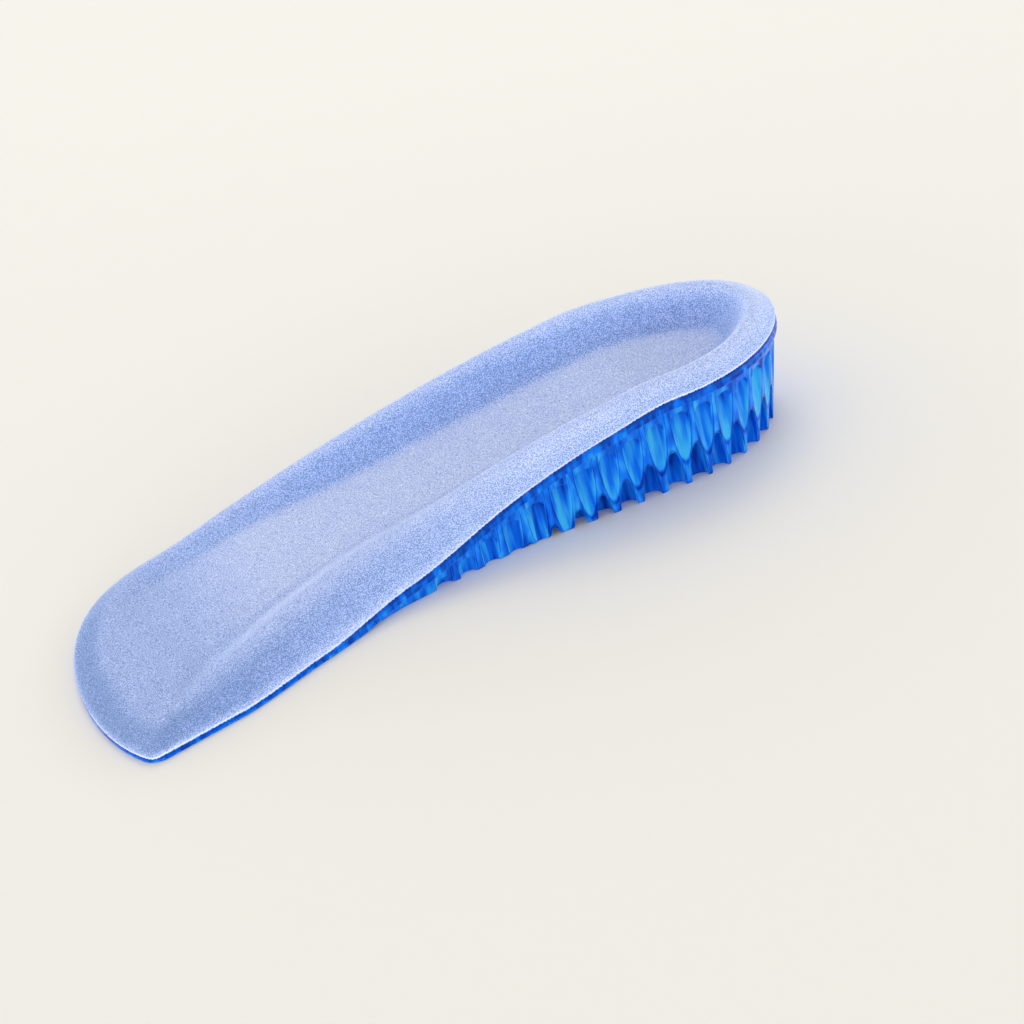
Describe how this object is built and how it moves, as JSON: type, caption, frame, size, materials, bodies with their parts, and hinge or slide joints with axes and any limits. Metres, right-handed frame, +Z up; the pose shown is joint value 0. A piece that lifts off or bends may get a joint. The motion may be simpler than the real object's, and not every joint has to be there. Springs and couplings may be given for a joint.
{
  "type": "arch support insole",
  "caption": "Three-quarter length clear blue gel insole with a velour top, heel cup, arch roll and honeycomb cells that open below; it lifts the heel and supports the arch.",
  "frame": {"origin": "on the flat underside, below the middle of the plan's length and width", "axes": "+X from the toe end to the heel, +Y from the arch side to the outer side, +Z up"},
  "size_m": [0.1726, 0.0738, 0.0273],
  "materials": {
    "gel": "clear glossy blue moulded gel",
    "velour": "pale blue short-pile velour"
  },
  "bodies": {
    "root": {"gel_base": "gel", "top_cover": "velour"}
  },
  "joints": []
}
